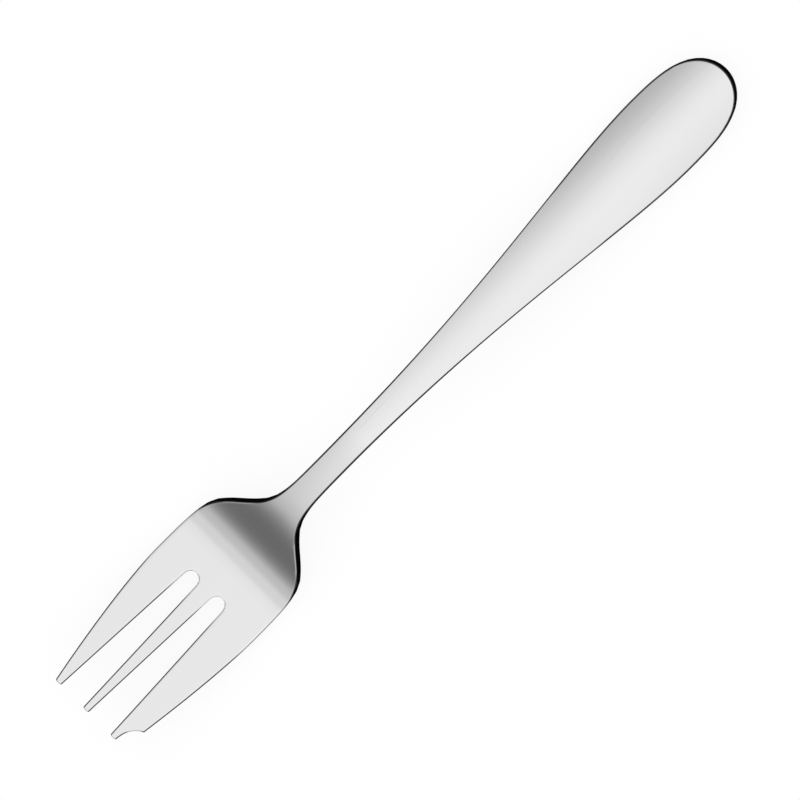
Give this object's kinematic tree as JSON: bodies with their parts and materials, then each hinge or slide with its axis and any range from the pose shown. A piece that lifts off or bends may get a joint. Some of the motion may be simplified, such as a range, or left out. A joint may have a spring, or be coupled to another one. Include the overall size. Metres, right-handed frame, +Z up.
{
  "type": "pastry fork",
  "caption": "One-piece steel pastry fork with a notched broad cutting tine, a slim neck and a flared, round-ended handle.",
  "frame": {"origin": "on the table that the fork lies on, below the middle of its length and width", "axes": "+Z up, square to the table; +X towards the end of the handle; the tine tips point to -X and the broad cutting tine is on -Y"},
  "size_m": [0.1502, 0.0216, 0.0119],
  "materials": {
    "steel": "bright polished stainless steel with fine polishing lines"
  },
  "bodies": {
    "root": {"fork": "steel"}
  },
  "joints": []
}
